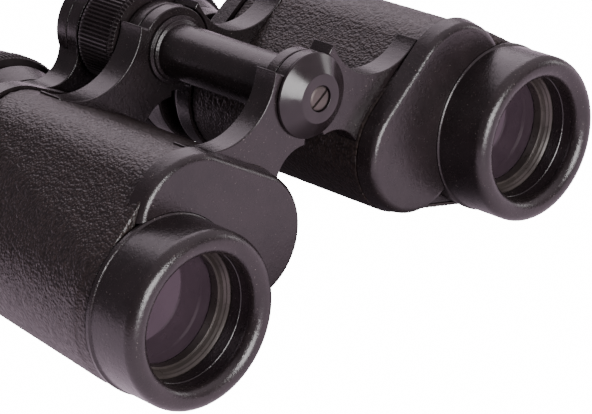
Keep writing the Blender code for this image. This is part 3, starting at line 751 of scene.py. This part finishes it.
def fillet_arc(radius, side_of_line):
    """The fillet that touches both the bridge hub and the collar."""
    ex, ez = EYE_AXIS
    span = math.hypot(ex, ez)
    hub, collar = HUB_R + radius, COLLAR_R + radius
    along = (hub**2 - collar**2 + span**2) / (2 * span)
    across = side_of_line * math.sqrt(hub**2 - along**2)
    cx, cz = (ex * along - ez * across) / span, (ez * along + ex * across) / span
    start = math.degrees(math.atan2(-cz, -cx))
    end = math.degrees(math.atan2(ez - cz, ex - cx))
    turn = (end - start + 180) % 360 - 180
    return arc((cx, cz), radius, start, start + turn)


def bridge(side):
    name, body = SIDE_NAMES[side], f"{SIDE_NAMES[side]}_eyepiece"
    front, back = 73.3, 81.0
    middle = (front + back) / 2
    first, last = front - COLLAR_PROUD, back + COLLAR_PROUD
    own, other = (first, middle - GAP / 2), (middle + GAP / 2, back)
    if side == LEFT:
        own, other = (middle + GAP / 2, last), (front, middle - GAP / 2)
    outline = [(0, 0), *fillet_arc(7.5, 1), EYE_AXIS, *fillet_arc(9.0, -1)[::-1]]
    outline = [(side * x, z) for x, z in outline]
    arm = eased(plate(f"{name}_arm", outline, front, back), 0.5)
    eye = centred(EYE_AXIS, side)
    collar = [(0, first), (COLLAR_R, first, 0.6), (COLLAR_R, last, 0.6), (0, last)]
    hub = [(0, own[0]), (HUB_R, own[0], 0.5), (HUB_R, own[1], 0.2), (0, own[1])]
    join(arm, turned("collar", collar, eye))
    cut(arm, disc("hub_room", HUB_R + 0.35, min(other) - GAP, max(other) + GAP))
    join(arm, turned("hub", hub))
    cut(arm, disc("hub_bore", 3.1, 70, 84), disc("collar_bore", OCULAR_BORE_R, 70, 84, eye))
    show(arm, body, "black_enamel", f"{name}_bridge_arm")


def eyepiece(side):
    name = SIDE_NAMES[side]
    eye = centred(EYE_AXIS, side)
    outer = f"{name}_eyepiece"
    inner = "right_ocular" if side == RIGHT else outer
    sleeve = [
        (12.15, 62.8),
        (13.6, 62.8),
        (13.6, 67.5),
        (15.2, 67.5, 0.3),
        (15.2, 69.1, 0.3),
        (13.6, 69.1),
        (13.6, 71.9, 0.3),
        (12.15, 71.9, 0.1),
    ]
    sleeve = turned(f"{name}_sleeve", sleeve, eye)
    show(sleeve, f"{name}_barrel", "blackened_alloy", f"{name}_eyepiece_sleeve")
    tube = [(11.2, 60.0), (12.05, 60.0, 0.2), (12.05, 84.0), (11.2, 84.0)]
    tube = turned(f"{name}_slide_tube", tube, eye)
    show(tube, outer, "blackened_alloy", f"{name}_ocular_tube")
    skirt = [
        (OCULAR_BORE_R, 81.4),
        (17.0, 81.4, 0.2),
        (17.5, 82.8, 1.5),
        (19.1, 87.3, 0.3),
        (18.7, 87.6, 0.2),
        (15.5, 87.6),
        (15.5, 84.2),
        (OCULAR_BORE_R, 84.2),
    ]
    show(turned(f"{name}_skirt", skirt, eye), outer, "black_enamel", f"{name}_eyepiece_skirt")
    knurl = [
        (14.76, 88.9),
        (20.5, 88.9, 0.1),
        (21.1, 89.5, 0.2),
        (21.1, 93.5, 0.2),
        (20.5, 94.1, 0.1),
        (14.76, 94.1),
    ]
    knurl = turned(f"{name}_knurl", knurl, eye, ribs=(120, 20.6))
    rider, node = (outer, "left_eyepiece_ring") if side == LEFT else ("diopter_ring", "diopter_ring")
    show(knurl, rider, "black_plastic", node)
    cup = [
        (15.0, 94.5),
        (20.0, 94.5, 0.2),
        (20.6, 95.3, 0.5),
        (20.6, 98.6, 1.0),
        (19.8, 99.8, 0.8),
        (19.0, 100.0, 0.4),
        (17.8, 100.0, 0.5),
        (16.4, 99.2, 0.8),
        (8.5, 98.4, 0.2),
        (8.5, 97.8),
        (15.0, 97.8),
    ]
    show(turned(f"{name}_cup", cup, eye), inner, "black_plastic", f"{name}_eyecup")
    lens = dish(9.5, 20.0, 88.0, 1) + dish(9.5, 30.0, 94.0, -1)[::-1]
    show(turned(f"{name}_ocular_lens", lens, eye), inner, "coated_glass", f"{name}_eye_lens")


# These solids keep their own meshes: they lie inside, or are plain already.
KEPT_ON_EACH_SIDE = {
    "prism_shelf": "blackened_alloy",
    "front_prism": "glass",
    "front_prism_clip": "brass",
    "rear_prism": "glass",
    "rear_prism_clip": "brass",
    "objective_cell": "blackened_alloy",
    "flint_lens": "glass",
    "lens_barrel": "blackened_alloy",
    "field_lens": "glass",
}
KEPT_IN_THE_MIDDLE = {
    "hinge_axle": "steel",
    "focus_spindle": "brass",
    "bridge_cap": "anodised_black",
}
for side in (RIGHT, LEFT):
    casting(side)
    leatherette(side)
    covers(side)
    strap_lug(side)
    objective(side)
    bridge(side)
    eyepiece(side)
    for node, slot_name in KEPT_ON_EACH_SIDE.items():
        finished(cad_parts[f"{SIDE_NAMES[side]}_{node}"], slot_name)
hinge()
for node, slot_name in KEPT_IN_THE_MIDDLE.items():
    finished(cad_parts[node], slot_name)


# ---------------------------------------------------------- light and camera


def glowing(name, colour, strength, shadow_footprint=None):
    """A plain glowing surface. If a footprint is given in metres, a painted shadow of the object dims
    the glow inside it.
    """
    material = bpy.data.materials.new(name)
    material.use_nodes = True
    tree = material.node_tree
    tree.nodes.clear()
    glow = tree.nodes.new("ShaderNodeEmission")
    glow.inputs["Color"].default_value = (*colour, 1.0)
    glow.inputs["Strength"].default_value = strength
    tree.links.new(glow.outputs[0], tree.nodes.new("ShaderNodeOutputMaterial").inputs["Surface"])
    # Painted shadow: the glow fades towards the centre, where the object would shade the floor.
    if shadow_footprint:
        place = tree.nodes.new("ShaderNodeTexCoord").outputs["Object"]
        reach = tree.nodes.new("ShaderNodeVectorMath")
        reach.operation = "LENGTH"
        tree.links.new(place, reach.inputs[0])
        ramp = tree.nodes.new("ShaderNodeMapRange")
        ramp.interpolation_type = "SMOOTHSTEP"
        for socket, value in zip(range(1, 5), (*shadow_footprint, strength * 0.06, strength)):
            ramp.inputs[socket].default_value = value
        tree.links.new(reach.outputs["Value"], ramp.inputs[0])
        tree.links.new(ramp.outputs[0], glow.inputs["Strength"])
    return material


def floor(name, height, size, material):
    bm = bmesh.new()
    bmesh.ops.create_grid(bm, x_segments=8, y_segments=8, size=size / 2)
    mesh = bpy.data.meshes.new(name)
    bm.to_mesh(mesh)
    bm.free()
    mesh.materials.append(material)
    obj = bpy.data.objects.new(name, mesh)
    obj.location.z = height
    bpy.context.scene.collection.objects.link(obj)
    return obj


def softbox(name, direction, distance, size, radiance, colour=(1.0, 0.97, 0.98)):
    """A square area light that faces the object."""
    light = bpy.data.lights.new(name, "AREA")
    light.size = size
    light.energy = radiance * math.pi * size * size
    light.color = colour
    obj = bpy.data.objects.new(name, light)
    way = Vector(direction).normalized()
    obj.location = Vector((0, 0, 0.03)) + way * distance
    obj.rotation_euler = way.to_track_quat("Z", "Y").to_euler()
    bpy.context.scene.collection.objects.link(obj)


seen_floor = floor("floor", -0.0006, 8.0, glowing("white_floor", (1.0, 1.0, 1.0), 16.0))
for ray in ("diffuse", "glossy", "transmission", "volume_scatter", "shadow"):
    setattr(seen_floor, f"visible_{ray}", False)
FLOOR_TINT = (1.0, 0.79, 0.95)
# The floor light carries a painted shadow: its glow is dimmed under the object.
lit_floor = floor("floor_light", -0.0008, 4.0, glowing("floor_light", FLOOR_TINT, 1.35, (0.045, 0.085)))
lit_floor.visible_camera = False

softbox("key", (-0.16, -0.94, 0.22), 0.9, 0.5, 14.0)
softbox("back_right", (0.45, 0.65, 0.6), 0.9, 0.85, 1.5, (1.0, 0.86, 0.96))
softbox("side", (0.92, -0.35, 0.15), 0.9, 0.25, 3.0)


def room():
    """Dim all round, brighter overhead and to the right."""
    world = bpy.data.worlds.new("room")
    world.use_nodes = True
    tree = world.node_tree
    way = tree.nodes.new("ShaderNodeTexCoord").outputs["Generated"]
    rise = tree.nodes.new("ShaderNodeVectorMath")
    rise.operation = "DOT_PRODUCT"
    rise.inputs[1].default_value = (0.5, 0.0, 0.87)
    tree.links.new(way, rise.inputs[0])
    ramp = tree.nodes.new("ShaderNodeMapRange")
    for socket, value in zip(range(1, 5), (0.45, 0.95, 0.22, 1.0)):
        ramp.inputs[socket].default_value = value
    tree.links.new(rise.outputs["Value"], ramp.inputs[0])
    background = tree.nodes["Background"]
    background.inputs["Color"].default_value = (1.0, 0.84, 0.94, 1.0)
    tree.links.new(ramp.outputs[0], background.inputs["Strength"])
    return world


bpy.context.scene.world = room()

# The camera looks at the target from the front, turned towards the right barrel's side, and
# from above. Lengths are metres in the frame, and angles are degrees.
CAMERA_TARGET = (0.02784, 0.00407, -0.00473)
CAMERA_DISTANCE = 0.6
CAMERA_AZIMUTH = -40.107
CAMERA_ELEVATION = 26.895
CAMERA_ROLL = -6.84
camera = bpy.data.cameras.new("camera")
camera.lens = 143.6
camera.sensor_width = 36.0
camera.clip_start = 0.01
eye_point = bpy.data.objects.new("camera", camera)
aim = Matrix.Rotation(math.radians(CAMERA_AZIMUTH), 4, "Z")
aim @= Matrix.Rotation(math.radians(90.0 - CAMERA_ELEVATION), 4, "X")
aim @= Matrix.Rotation(math.radians(CAMERA_ROLL), 4, "Z")
stand_off = Matrix.Translation((0.0, 0.0, CAMERA_DISTANCE))
eye_point.matrix_world = Matrix.Translation(CAMERA_TARGET) @ aim @ stand_off
bpy.context.scene.collection.objects.link(eye_point)
bpy.context.scene.camera = eye_point
